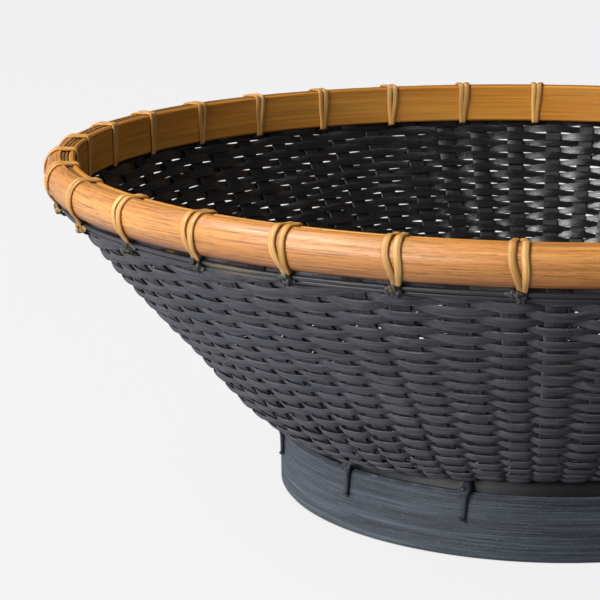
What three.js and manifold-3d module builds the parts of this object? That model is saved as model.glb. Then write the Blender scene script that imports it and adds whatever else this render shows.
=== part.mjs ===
// Woven fruit basket: a footed, round bowl of plain weave with a bamboo rim lashed on with cane.
// Millimetres, +Z up. The origin is the centre of the foot's underside.
import * as THREE from "three";
import { mergeVertices } from "three/addons/utils/BufferGeometryUtils.js";
import Module from "manifold-3d";

// Driving dimensions.
const RIM_RADIUS = 200; // outside of the rim pole
const RIM_TOP_Z = 137.6;
const POLE_HEIGHT = 14.6;
const POLE_DEPTH = 6.2; // radial
const BAND_HEIGHT = 17; // inner rim band
const BAND_THICKNESS = 2.6;
const WALL_THICKNESS = 2.6;
const GAP = 0.3; // between neighbouring pieces
const FILLER_HEIGHT = 3.5;
const FOOT_RADIUS = 106.4;
const FOOT_BAND_HEIGHT = 25.4;
const FOOT_BAND_THICKNESS = 2.8;
const FOOT_INNER_HEIGHT = 30.6; // the inner band carries the base
const BASE_RADIUS = 95; // the flat middle, inside the wall's turned-in edge
const HOOP_HEIGHT = 3.4;
const HOOP_THICKNESS = 2;
const HOOP_Z = 120.2; // middle of the border hoop
const LASHING_COUNT = 33;
const LASHING_START_DEG = 10.4; // from the front (-Y) towards -X
const LASHING_DRIFT_DEG = 1.9; // hand spacing: the lashings bunch to one side
const LASHING_DRIFT_AT_DEG = 77;
const LASHING_DRIFT_WIDTH_DEG = 22;
const LASHING_EARLY_DEG = 1.8; // the first one lies this much early, and the next ones less
const LASHING_WIDTH = 2.7;
const LASHING_THICKNESS = 1.2;
const LASHING_SPLAY_DEG = 6.5; // each turn leans out from the shared lower end
const LASHING_PIVOT_DEPTH = 4; // the shared lower end, below the border hoop
const LASHING_ARC_START = -0.26 * Math.PI; // round the pole, from under it to its top
const LASHING_ARC_SWEEP = 0.7 * Math.PI;
const LASHING_ARC_STEPS = 3;
const STITCH_COUNT = 12;
const STITCH_START_DEG = 20;
const STITCH_WAVER_DEG = 1; // the stitches are off even spacing, to either side in turn
const STITCH_WIDTH = 3;
const STITCH_THICKNESS = 1.3;
const STITCH_LOW_Z = 14.5;
const LASHING_CLEARANCE = 0.9; // to what the lashing goes round
const RING_SEGMENTS = 60;
const WALL_SEARCH_STEPS = 200; // for the wall's radius at a height
const SLOT_DEPTH_IN_WALLS = 6; // how far the lashing slot's cutter reaches through the wall
const POLE_ARC_STEPS = 7;
const WALL_STEPS = 5;

// Radii that follow from them.
const POLE_BACK_RADIUS = RIM_RADIUS - POLE_DEPTH;
const WALL_RIM_OUTER = POLE_BACK_RADIUS - GAP;
const WALL_RIM_INNER = WALL_RIM_OUTER - WALL_THICKNESS;
const BAND_OUTER = WALL_RIM_INNER - GAP;
const BAND_INNER = BAND_OUTER - BAND_THICKNESS;
const FOOT_INNER_OUTER = FOOT_RADIUS - FOOT_BAND_THICKNESS - GAP;
const FOOT_INNER_INNER = FOOT_INNER_OUTER - FOOT_BAND_THICKNESS;
const BODY_FLOOR_Z = FOOT_INNER_HEIGHT + GAP;
const WALL_TOP_Z = RIM_TOP_Z - FILLER_HEIGHT - GAP;
const BAND_LOW_Z = RIM_TOP_Z - BAND_HEIGHT;
const WALL_TURN_Z = BAND_LOW_Z - 1; // above this the wall stands upright in the rim
const WALL_UNDER_RIM = [WALL_RIM_OUTER - 2.4, WALL_TURN_Z - 2.5]; // where it begins to turn up

const MATERIALS = {
  weave: { color: 0x2e2e33, roughness: 0.55 },
  foot: { color: 0x39424a, roughness: 0.6 },
  pole: { color: 0xd2924a, roughness: 0.42 },
  band: { color: 0xa9702f, roughness: 0.45 },
  cane: { color: 0xdb9d4e, roughness: 0.4 },
  paintedCane: { color: 0x1c1d22, roughness: 0.5 },
};

const wasm = await Module();
wasm.setup();

// A geometry as a manifold-3d solid, and back.
function toSolid(geometry) {
  const bare = geometry.index ? geometry.toNonIndexed() : geometry.clone();
  bare.deleteAttribute("normal");
  bare.deleteAttribute("uv");
  const merged = mergeVertices(bare, 1e-4);
  return new wasm.Manifold(
    new wasm.Mesh({
      numProp: 3,
      vertProperties: merged.attributes.position.array,
      triVerts: new Uint32Array(merged.index.array),
    }),
  );
}

function toGeometry(solid) {
  const mesh = solid.getMesh();
  const geometry = new THREE.BufferGeometry();
  geometry.setAttribute("position", new THREE.BufferAttribute(mesh.vertProperties, 3));
  geometry.setIndex(new THREE.BufferAttribute(mesh.triVerts, 1));
  geometry.computeVertexNormals();
  return geometry;
}

// A ring, from a closed profile of [radius, z] points listed counter-clockwise.
// LatheGeometry turns its profile round +Y, so the ring is stood up on +Z.
function ring(profile) {
  const points = profile.map(([radius, z]) => new THREE.Vector2(radius, z));
  points.push(points[0].clone());
  return new THREE.LatheGeometry(points, RING_SEGMENTS).rotateX(Math.PI / 2);
}

function hoop(inner, outer, low, high) {
  return ring([
    [inner, low],
    [outer, low],
    [outer, high],
    [inner, high],
  ]);
}

// The outside of the woven wall, from the foot to under the rim: a gently convex bowl.
const WALL_OUTSIDE = new THREE.SplineCurve(
  [
    [108, BODY_FLOOR_Z],
    [127, 45],
    [146.5, 65],
    [165, 85],
    [181.6, 105],
    WALL_UNDER_RIM,
  ].map(([radius, z]) => new THREE.Vector2(radius, z)),
);

// The same line moved inwards by the wall's thickness.
function wallInside(t) {
  const at = WALL_OUTSIDE.getPoint(t);
  const along = WALL_OUTSIDE.getTangent(t);
  return [at.x - along.y * WALL_THICKNESS, at.y + along.x * WALL_THICKNESS];
}

function wallRadiusAt(z) {
  for (let i = 0; i <= WALL_SEARCH_STEPS; i++) {
    const point = WALL_OUTSIDE.getPoint(i / WALL_SEARCH_STEPS);
    if (point.y >= z) return point.x;
  }
  return WALL_RIM_OUTER;
}

function wallProfile() {
  const outside = [];
  const inside = [];
  for (let i = 0; i <= WALL_STEPS; i++) {
    const t = i / WALL_STEPS;
    outside.push(WALL_OUTSIDE.getPoint(t).toArray());
    inside.push(wallInside(t));
  }
  inside[0] = [inside[0][0], BODY_FLOOR_Z + WALL_THICKNESS];
  return [
    [BASE_RADIUS + GAP, BODY_FLOOR_Z],
    ...outside,
    [WALL_RIM_OUTER, WALL_TURN_Z],
    [WALL_RIM_OUTER, WALL_TOP_Z],
    [WALL_RIM_INNER, WALL_TOP_Z],
    [WALL_RIM_INNER, WALL_TURN_Z],
    ...inside.reverse(),
    [BASE_RADIUS + GAP, BODY_FLOOR_Z + WALL_THICKNESS],
  ];
}

// Half-round section: flat against the wall, round outside.
function rimPole() {
  const profile = [];
  for (let i = 0; i <= POLE_ARC_STEPS; i++) {
    const turn = -Math.PI / 2 + (Math.PI * i) / POLE_ARC_STEPS;
    profile.push([
      POLE_BACK_RADIUS + POLE_DEPTH * Math.cos(turn),
      RIM_TOP_Z - POLE_HEIGHT / 2 + (POLE_HEIGHT / 2) * Math.sin(turn),
    ]);
  }
  return ring(profile);
}

function baseDisc() {
  const height = WALL_THICKNESS;
  return new THREE.CylinderGeometry(BASE_RADIUS, BASE_RADIUS, height, RING_SEGMENTS)
    .rotateX(Math.PI / 2)
    .translate(0, 0, BODY_FLOOR_Z + height / 2);
}

// A flat closed loop, cut from a plate: outline and hole in (radius, z), then turned to stand
// on the XZ plane with its width along Y.
function plateLoop(outline, hole, width) {
  const shape = new THREE.Shape(outline.map(([r, z]) => new THREE.Vector2(r, z)));
  shape.holes.push(new THREE.Path(hole.map(([r, z]) => new THREE.Vector2(r, z))));
  return new THREE.ExtrudeGeometry(shape, { depth: width, bevelEnabled: false, steps: 1 })
    .translate(0, 0, -width / 2)
    .rotateX(Math.PI / 2);
}

// The border hoop lies on the sloping wall.
const HOOP_LOW_Z = HOOP_Z - HOOP_HEIGHT / 2;
const HOOP_HIGH_Z = HOOP_Z + HOOP_HEIGHT / 2;
const HOOP_LOW_INNER = wallRadiusAt(HOOP_LOW_Z) + 2 * GAP;
const HOOP_HIGH_INNER = wallRadiusAt(HOOP_HIGH_Z) + 2 * GAP;

function borderHoop() {
  return ring([
    [HOOP_LOW_INNER, HOOP_LOW_Z],
    [HOOP_LOW_INNER + HOOP_THICKNESS, HOOP_LOW_Z],
    [HOOP_HIGH_INNER + HOOP_THICKNESS, HOOP_HIGH_Z],
    [HOOP_HIGH_INNER, HOOP_HIGH_Z],
  ]);
}

// What one turn of a rim lashing goes round, grown by the given amount. The turn goes up inside
// the band, over the rim, round the pole, over the border hoop and back through the wall.
const LASHING_INSIDE = wallRadiusAt(HOOP_LOW_Z) - 2 * WALL_THICKNESS;

function lashingOutline(grow) {
  const low = HOOP_LOW_Z - grow;
  const outline = [
    [BAND_INNER - grow, RIM_TOP_Z + grow],
    [BAND_INNER - grow, BAND_LOW_Z],
    [LASHING_INSIDE - grow, low],
    [HOOP_LOW_INNER + HOOP_THICKNESS + grow, low],
    [HOOP_HIGH_INNER + HOOP_THICKNESS + grow, HOOP_HIGH_Z],
  ];
  const middleZ = RIM_TOP_Z - POLE_HEIGHT / 2;
  for (let i = 0; i <= LASHING_ARC_STEPS; i++) {
    const turn = LASHING_ARC_START + (LASHING_ARC_SWEEP * i) / LASHING_ARC_STEPS;
    outline.push([
      POLE_BACK_RADIUS + (POLE_DEPTH + grow) * Math.cos(turn),
      middleZ + (POLE_HEIGHT / 2 + grow) * Math.sin(turn),
    ]);
  }
  return outline;
}

function lashingTurn(lean) {
  const turn = plateLoop(
    lashingOutline(LASHING_CLEARANCE + LASHING_THICKNESS),
    lashingOutline(LASHING_CLEARANCE),
    LASHING_WIDTH,
  );
  const splay = THREE.MathUtils.degToRad(lean * LASHING_SPLAY_DEG);
  const pivotZ = HOOP_LOW_Z - LASHING_PIVOT_DEPTH;
  return turn.translate(0, 0, -pivotZ).rotateX(splay).translate(0, 0, pivotZ);
}

function lashing() {
  return toSolid(lashingTurn(1)).add(toSolid(lashingTurn(-1)));
}

// The slot that a lashing needs through the wall.
function lashingSlot() {
  const width = LASHING_WIDTH * 2 + 2 * GAP;
  const height = LASHING_THICKNESS + 4 * GAP;
  const depth = SLOT_DEPTH_IN_WALLS * WALL_THICKNESS;
  return toSolid(new THREE.BoxGeometry(depth, width, height)).translate([
    wallRadiusAt(HOOP_LOW_Z),
    0,
    HOOP_LOW_Z - LASHING_CLEARANCE - LASHING_THICKNESS / 2,
  ]);
}

// One foot stitch: up outside the foot, in through the body's lowest rows, and down inside.
const STITCH_TOP_Z = BODY_FLOOR_Z + WALL_THICKNESS + GAP + STITCH_THICKNESS;

function stitchFrame(grow) {
  const inner = FOOT_INNER_INNER - GAP - STITCH_THICKNESS - grow;
  const outer = FOOT_RADIUS + GAP + STITCH_THICKNESS + grow;
  return [
    [inner, STITCH_LOW_Z - grow],
    [outer, STITCH_LOW_Z - grow],
    [outer, STITCH_TOP_Z + grow],
    [inner, STITCH_TOP_Z + grow],
  ];
}

function stitch(grow) {
  return toSolid(
    plateLoop(
      stitchFrame(grow),
      stitchFrame(-STITCH_THICKNESS - grow),
      STITCH_WIDTH + 2 * grow,
    ),
  );
}

// Angles run from the front (-Y) towards -X. A solid built on +X turns to them.
function turnFor(deg) {
  return [0, 0, -90 - deg];
}

function lashingAngle(i) {
  const even = LASHING_START_DEG + (360 / LASHING_COUNT) * i;
  const away = (even - LASHING_DRIFT_AT_DEG) / LASHING_DRIFT_WIDTH_DEG;
  const early = LASHING_EARLY_DEG * Math.exp(-i);
  return even + LASHING_DRIFT_DEG * Math.exp(-away * away) - early;
}

function stitchAngle(i) {
  return STITCH_START_DEG + (360 / STITCH_COUNT) * i + STITCH_WAVER_DEG * Math.cos(Math.PI * i);
}

function numbered(name, i) {
  return `${name}_${String(i + 1).padStart(2, "0")}`;
}

const basket = new THREE.Group();

function place(name, geometry, material) {
  const mesh = new THREE.Mesh(geometry, new THREE.MeshStandardMaterial(MATERIALS[material]));
  mesh.name = name;
  basket.add(mesh);
}

function cutWith(geometry, cutter, angles) {
  let solid = toSolid(geometry);
  for (const angle of angles) solid = solid.subtract(cutter.rotate(turnFor(angle)));
  return solid;
}

const lashingAngles = Array.from({ length: LASHING_COUNT }, (_, i) => lashingAngle(i));
const stitchAngles = Array.from({ length: STITCH_COUNT }, (_, i) => stitchAngle(i));
const stitchCutter = stitch(GAP);

let wall = cutWith(ring(wallProfile()), lashingSlot(), lashingAngles);
for (const angle of stitchAngles) wall = wall.subtract(stitchCutter.rotate(turnFor(angle)));
place("woven_wall", toGeometry(wall), "weave");
place("woven_base", baseDisc(), "weave");
place("border_hoop", borderHoop(), "paintedCane");
place("rim_pole", rimPole(), "pole");
place("rim_band", hoop(BAND_INNER, BAND_OUTER, BAND_LOW_Z, RIM_TOP_Z), "band");

const fillerWidth = (WALL_RIM_OUTER - WALL_RIM_INNER - GAP) / 2;
for (const [i, name] of ["rim_filler_inner", "rim_filler_outer"].entries()) {
  const inner = WALL_RIM_INNER + i * (fillerWidth + GAP);
  place(name, hoop(inner, inner + fillerWidth, RIM_TOP_Z - FILLER_HEIGHT, RIM_TOP_Z), "band");
}

const footOuter = hoop(FOOT_RADIUS - FOOT_BAND_THICKNESS, FOOT_RADIUS, 0, FOOT_BAND_HEIGHT);
const footInner = hoop(FOOT_INNER_INNER, FOOT_INNER_OUTER, 0, FOOT_INNER_HEIGHT);
place("foot_outer_band", toGeometry(cutWith(footOuter, stitchCutter, stitchAngles)), "foot");
place("foot_inner_band", toGeometry(cutWith(footInner, stitchCutter, stitchAngles)), "foot");

const lashingSolid = lashing();
lashingAngles.forEach((angle, i) => {
  place(numbered("rim_lashing", i), toGeometry(lashingSolid.rotate(turnFor(angle))), "cane");
});

const stitchSolid = stitch(0);
stitchAngles.forEach((angle, i) => {
  const turned = toGeometry(stitchSolid.rotate(turnFor(angle)));
  place(numbered("foot_stitch", i), turned, "paintedCane");
});

export default basket;
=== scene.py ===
"""A woven fruit basket: a footed bowl of flat splints in plain weave, with a lashed bamboo rim.

The CAD model is the frame. The stakes, weavers, hoops, rim, lashings and foot are built here
around it. Lengths below are millimetres in the frame's axes, and MM turns them into metres when
a mesh is made, apart from the studio's, which are metres.
Angles run from +X towards +Y. The basket's front is -Y.
"""

import math

import bpy
import numpy as np
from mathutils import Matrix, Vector


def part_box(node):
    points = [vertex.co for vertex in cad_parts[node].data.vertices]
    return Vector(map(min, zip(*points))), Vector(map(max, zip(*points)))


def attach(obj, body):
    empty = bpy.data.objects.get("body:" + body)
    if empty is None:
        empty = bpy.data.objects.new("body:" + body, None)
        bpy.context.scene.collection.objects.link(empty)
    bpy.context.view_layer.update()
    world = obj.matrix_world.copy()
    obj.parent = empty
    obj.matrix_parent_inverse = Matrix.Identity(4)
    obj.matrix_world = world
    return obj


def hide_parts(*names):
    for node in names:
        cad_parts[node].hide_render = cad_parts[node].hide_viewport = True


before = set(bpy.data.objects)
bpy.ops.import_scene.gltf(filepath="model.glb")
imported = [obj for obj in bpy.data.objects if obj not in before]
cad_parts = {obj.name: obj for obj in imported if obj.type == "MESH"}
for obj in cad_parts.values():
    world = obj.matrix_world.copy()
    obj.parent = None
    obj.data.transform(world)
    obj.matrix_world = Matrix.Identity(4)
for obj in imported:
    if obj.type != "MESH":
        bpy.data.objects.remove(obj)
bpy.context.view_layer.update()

MM = 0.001
FRONT = -0.5 * math.pi
rng = np.random.default_rng(11)


def box_mm(node):
    low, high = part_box(node)
    return np.array(low) / MM, np.array(high) / MM


# ------------------------------ sizes from the frame
pole_low, pole_high = box_mm("rim_pole")
band_low, band_high = box_mm("rim_band")
base_low, base_high = box_mm("woven_base")
hoop_low, hoop_high = box_mm("border_hoop")
wall_high = box_mm("woven_wall")[1]
outer_foot_high = box_mm("foot_outer_band")[1]
inner_foot_high = box_mm("foot_inner_band")[1]

RIM_TOP = pole_high[2]
POLE_OUTER = pole_high[0]
POLE_MIDDLE = 0.5 * (pole_low[2] + pole_high[2])
POLE_HALF = 0.5 * (pole_high[2] - pole_low[2])
WALL_RIM_OUTER = wall_high[0]
POLE_BACK = WALL_RIM_OUTER + 0.3  # its flat side, just clear of the wall
BAND_OUTER = band_high[0]
BASE_Z = 0.5 * (base_low[2] + base_high[2])
WALL_HALF = 0.5 * (base_high[2] - base_low[2])

# ------------------------------ sizes of the woven pieces
STAKES = 68
STAKES_PER_SIDE = STAKES // 4
STAKE_WIDTH = 7.5
STAKE_FOOT_WIDTH = 6.7
STAKE_BASE_WIDTH = 7.8
STAKE_THICKNESS = 0.8
STAKE_SWING = 0.62 * STAKE_THICKNESS  # off the base's middle, where stakes cross
STAKE_STRAIGHT = 62.0  # from the base's middle to where a stake starts to turn radial
STAKE_TURNED = 113.0  # the radius at which it has become radial
STAKE_STEP = 1.6
BASE_PITCH = 8.2  # between parallel stakes on the base
WEAVER_WIDTH = 1.16  # of the rows' spacing, where a weaver lies on a stake
WEAVER_CROSSING_WIDTH = 0.99  # of the rows' spacing, between stakes
WEAVER_THICKNESS = 0.45
WEAVER_SWING = 0.9  # from the middle of the wall to the middle of the splint
WEAVER_STEPS_PER_STAKE = 12
ROW_PITCH = 3.34
TOP_ROW_PITCH = 3.72
WEAVER_TILT = math.radians(7)
# How far hand work strays from stake to stake: a row's height, swing, tilt and width.
HEIGHT_SCATTER, SWING_SCATTER = 0.24, 0.12
TILT_SCATTER, WIDTH_SCATTER = math.radians(4.0), 0.05
ROW_WIDTH_SCATTER = 0.025  # from row to row
FIRST_ROW_RADIUS = 101.5
LAST_ROW_IN_RIM = 2.0  # above the band's lower edge
BAND_THICKNESS = 2.6
FILLER_HALF_THICKNESS = 0.55
FOOT_BAND_HALF_THICKNESS = 1.35
FRONT_DIP = 0.7  # the band and the fillers sit this much lower at the front
FRONT_LIFT = 0.8  # the whole rim rises this much towards the front
SAG_DEPTH = 4.8  # the body hangs this much lower over the foot, at its front left
SAG_ANGLE = FRONT - math.radians(52)
SAG_SPREAD = math.radians(38)
LASHINGS = 33
LASHING_WIDTH = 2.75
LASHING_THICKNESS = 0.95
LASHING_LIFT = 0.55  # of the cane's middle, off what it goes round
LASHING_SPREAD = 1.8  # from a lashing's middle to each strand, on the pole
LASHING_INNER_SPREAD = 1.3  # and inside the band
KNOT_SPREAD = 0.5  # and at the knot
KNOT_LUMPS = ((5.4, 1.5), (4.2, 0.6), (3.0, 2.6))  # length, and height over the hoop's edge
BORDER_CANE_HEIGHT = 1.75
BORDER_CANE_THICKNESS = 1.8
BORDER_CANE_STAND_OFF = 2.3  # of its middle, from the middle of the wall
RING_STEPS = 480
STITCHES = 12
STITCH_FOLD_Z = 26.4  # where a stitch is folded over the top of the foot
STITCH_LUMPS = ((26.9, 1.9, 0.95), (25.2, 1.5, 0.8), (14.9, 1.7, 0.55))  # height, half sizes

# The outside of the woven wall, as the CAD part has it: (radius, height).
WALL_OUTSIDE = np.array(
    [[108, 30.9], [127, 45], [146.5, 65], [165, 85], [181.6, 105], [191.1, 117.1]]
)


# ------------------------------ curves
def catmull(points, per_span=24):
    """A smooth curve through the points, as many points on it as its spans need."""
    padded = np.vstack([2 * points[0] - points[1], points, 2 * points[-1] - points[-2]])
    curve = []
    for i in range(1, len(padded) - 2):
        a, b, c, d = padded[i - 1 : i + 3]
        t = np.linspace(0, 1, per_span, endpoint=False)[:, None]
        cubic = (2 * a - 5 * b + 4 * c - d) * t**2 + (3 * b - a - 3 * c + d) * t**3
        curve.append(0.5 * (2 * b + (c - a) * t + cubic))
    return np.vstack([*curve, points[-1:]])


def smoothstep(low, high, x):
    t = np.clip((x - low) / (high - low), 0, 1)
    return t * t * (3 - 2 * t)


def unit(v):
    return v / np.maximum(np.linalg.norm(v, axis=-1, keepdims=True), 1e-12)


class Profile:
    """The middle of the body's thickness, from the centre of the base up into the rim."""

    def __init__(self):
        along = unit(np.gradient(WALL_OUTSIDE, axis=0))
        inwards = np.stack([-along[:, 1], along[:, 0]], 1)
        wall = (WALL_OUTSIDE + inwards * WALL_HALF)[1:]
        rim_radius = WALL_RIM_OUTER - WALL_HALF
        foot = [[0, 0], [60, 0], [96, 0], [104, 0.6], [110.5, 2.9]] + np.array([0, BASE_Z])
        rim = [[rim_radius, RIM_TOP - 15.5], [rim_radius, RIM_TOP - 3.8]]
        self.points = catmull(np.vstack([foot, wall, rim]))
        steps = np.linalg.norm(np.diff(self.points, axis=0), axis=1)
        self.length = np.concatenate([[0], np.cumsum(steps)])
        self.slope = unit(np.gradient(self.points, self.length, axis=0))

    def at(self, s):
        """Radius and height at arc length s."""
        return [np.interp(s, self.length, column) for column in self.points.T]

    def along(self, s):
        """The direction up the wall at arc length s, as (radial, vertical)."""
        return [np.interp(s, self.length, column) for column in self.slope.T]

    def at_radius(self, r):
        return np.interp(r, self.points[:, 0], self.length)

    def at_height(self, z):
        """Arc length at a height on the wall, past the base, where the height doesn't rise."""
        rising = slice(60, None)
        return float(np.interp(z, self.points[rising, 1], self.length[rising]))


profile = Profile()
HOOP_OUTER = float(profile.at(profile.at_height(hoop_high[2]))[0]) + BORDER_CANE_STAND_OFF + 0.3


def sag(points):
    """The hand-made body hangs a little lower over the foot at its front left."""
    radius = np.hypot(points[:, 0], points[:, 1])
    angle = np.arctan2(points[:, 1], points[:, 0])
    away = np.angle(np.exp(1j * (angle - SAG_ANGLE)))
    side = np.exp(-((away / SAG_SPREAD) ** 2))
    depth = SAG_DEPTH * side * smoothstep(102, 112, radius)
    depth = depth * (1 - smoothstep(34, 68, points[:, 2]))
    lowered = points.copy()
    lowered[:, 2] -= depth
    return lowered


# ------------------------------ meshes
FLAT_SECTION = np.array(
    [[-1, -0.35], [-0.92, -1], [0, -1.12], [0.92, -1], [1, -0.35],
     [1, 0.35], [0.92, 1], [0, 1.12], [-0.92, 1], [-1, 0.35]]
)


def round_section(points, squareness=1.0):
    turn = np.linspace(0, 2 * math.pi, points, endpoint=False)
    c, s = np.cos(turn), np.sin(turn)
    return np.stack([np.sign(a) * np.abs(a) ** squareness for a in (c, s)], 1)


ROUND_SECTION = round_section(10, 0.85)


def bowed_section(camber):
    """A thin splint whose skin side is bowed outwards, with eased edges."""
    x = np.array([0.97, 0.6, 0.0, -0.6, -0.97])
    bow = camber * (0.5 - x**2)
    skin = np.stack([x, bow + np.array([0.75, 1, 1, 1, 0.75])], 1)
    back = np.stack([x, bow - np.array([0.75, 1, 1, 1, 0.75])], 1)[::-1]
    edge = np.array([[-1.0, -0.5 * camber], [1.0, -0.5 * camber]])
    return np.vstack([skin, edge[:1], back, edge[1:]])


WEAVER_SECTION = bowed_section(1.3)
# Split cane: nearly flat where it lies on the rim, rounded outside.
CANE_SECTION = np.array(
    [[-1, -0.55], [-0.94, 0.35], [-0.68, 0.84], [0, 1.0], [0.68, 0.84],
     [0.94, 0.35], [1, -0.55], [0.8, -0.95], [0, -1.0], [-0.8, -0.95]]
)[::-1]


def signed_area(section):
    x, y = section.T
    return 0.5 * np.sum(x * np.roll(y, -1) - y * np.roll(x, -1))


def tube_mesh(centre, across, outward, half_width, half_thickness, section, closed, extra):
    """One swept piece: its points, faces, grain coordinates and other corner attributes.

    centre, across and outward are (n, 3); the half sizes are numbers or (n,) arrays.
    extra maps an attribute's name to an (n,) array along the piece.
    """
    n, k = len(centre), len(section)
    half_width = np.broadcast_to(half_width, n)
    half_thickness = np.broadcast_to(half_thickness, n)
    points = (
        centre[:, None, :]
        + across[:, None, :] * section[None, :, 0:1] * half_width[:, None, None]
        + outward[:, None, :] * section[None, :, 1:2] * half_thickness[:, None, None]
    ).reshape(-1, 3)
    hand = np.sum(np.cross(across[:-1], outward[:-1]) * np.diff(centre, axis=0))
    turned_in = hand * signed_area(section) > 0
    spans = n if closed else n - 1
    i = np.repeat(np.arange(spans), k)
    j = np.tile(np.arange(k), spans)
    corner_i = np.stack([i, i + 1, i + 1, i], 1)
    corner_j = np.stack([j, j, (j + 1) % k, (j + 1) % k], 1)
    if turned_in:
        corner_i, corner_j = corner_i[:, ::-1], corner_j[:, ::-1]
    step = np.linalg.norm(np.diff(centre, axis=0, append=centre[:1]), axis=1)
    run = np.concatenate([[0], np.cumsum(step)])
    across_grain = section[corner_j, 0] * half_width[corner_i % n]
    through_grain = section[corner_j, 1] * half_thickness[corner_i % n]
    grain = np.stack([run[corner_i], across_grain, through_grain], -1).reshape(-1, 3)
    quads = (corner_i % n) * k + corner_j
    more = {name: np.append(v, v[0])[corner_i].ravel() for name, v in extra.items()}
    faces = [quads.ravel()]
    totals = [np.full(len(quads), 4)]
    if not closed:
        for ring, backwards in ((0, turned_in), (n - 1, not turned_in)):
            cap = np.arange(k) + ring * k
            faces.append(cap[::-1] if backwards else cap)
            totals.append(np.array([k]))
            flat = np.array([[run[ring], 0.0, 0.0]])
            grain = np.vstack([grain, np.repeat(flat, k, 0)])
            more = {name: np.append(v, np.full(k, extra[name][ring])) for name, v in more.items()}
    return points, np.concatenate(faces), np.concatenate(totals), grain, more


def strip_mesh(centre, outward, half_width, half_thickness, section, extra):
    """A tube_mesh with two ends, turned so that its face looks outward."""
    along = unit(np.gradient(centre, axis=0))
    across = unit(np.cross(outward, along))
    face = np.cross(along, across)
    return tube_mesh(centre, across, face, half_width, half_thickness, section, False, extra)


def lift_rim(points):
    """The rim is not quite level: its front is the highest."""
    lifted = points.copy()
    forward = -points[:, 1] / np.maximum(np.hypot(points[:, 0], points[:, 1]), 1)
    near_rim = smoothstep(105, 122, points[:, 2])
    lifted[:, 2] += FRONT_LIFT * (0.5 + 0.5 * forward) ** 2 * near_rim
    return lifted


def build(name, parts, material, smooth_angle=40):
    """One object from swept parts, each as tube_mesh gives it."""
    offsets = np.cumsum([0] + [len(part[0]) for part in parts])
    points = lift_rim(np.vstack([part[0] for part in parts])) * MM
    corners = np.concatenate([part[1] + offset for part, offset in zip(parts, offsets)])
    totals = np.concatenate([part[2] for part in parts])
    starts = np.concatenate([[0], np.cumsum(totals)[:-1]])
    mesh = bpy.data.meshes.new(name)
    mesh.vertices.add(len(points))
    mesh.vertices.foreach_set("co", points.ravel().astype(np.float32))
    mesh.loops.add(len(corners))
    mesh.loops.foreach_set("vertex_index", corners.astype(np.int32))
    mesh.polygons.add(len(totals))
    mesh.polygons.foreach_set("loop_start", starts.astype(np.int32))
    mesh.polygons.foreach_set("loop_total", totals.astype(np.int32))
    mesh.update(calc_edges=True)
    grain = mesh.attributes.new("grain", "FLOAT_VECTOR", "CORNER")
    values = np.vstack([part[3] for part in parts])
    grain.data.foreach_set("vector", values.ravel().astype(np.float32))
    for key in parts[0][4]:
        made = mesh.attributes.new(key, "FLOAT", "CORNER")
        values = np.concatenate([part[4][key] for part in parts])
        made.data.foreach_set("value", values.astype(np.float32))
    mesh.shade_smooth()
    mesh.set_sharp_from_angle(angle=math.radians(smooth_angle))
    mesh.materials.append(material)
    piece = bpy.data.objects.new(name, mesh)
    bpy.context.scene.collection.objects.link(piece)
    return piece


def place(piece, slot, *nodes):
    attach(piece, "root")
    if nodes:
        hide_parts(*nodes)
    return piece


# ------------------------------ materials
WORN_PAINT = (0.135, 0.122, 0.118)


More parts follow.
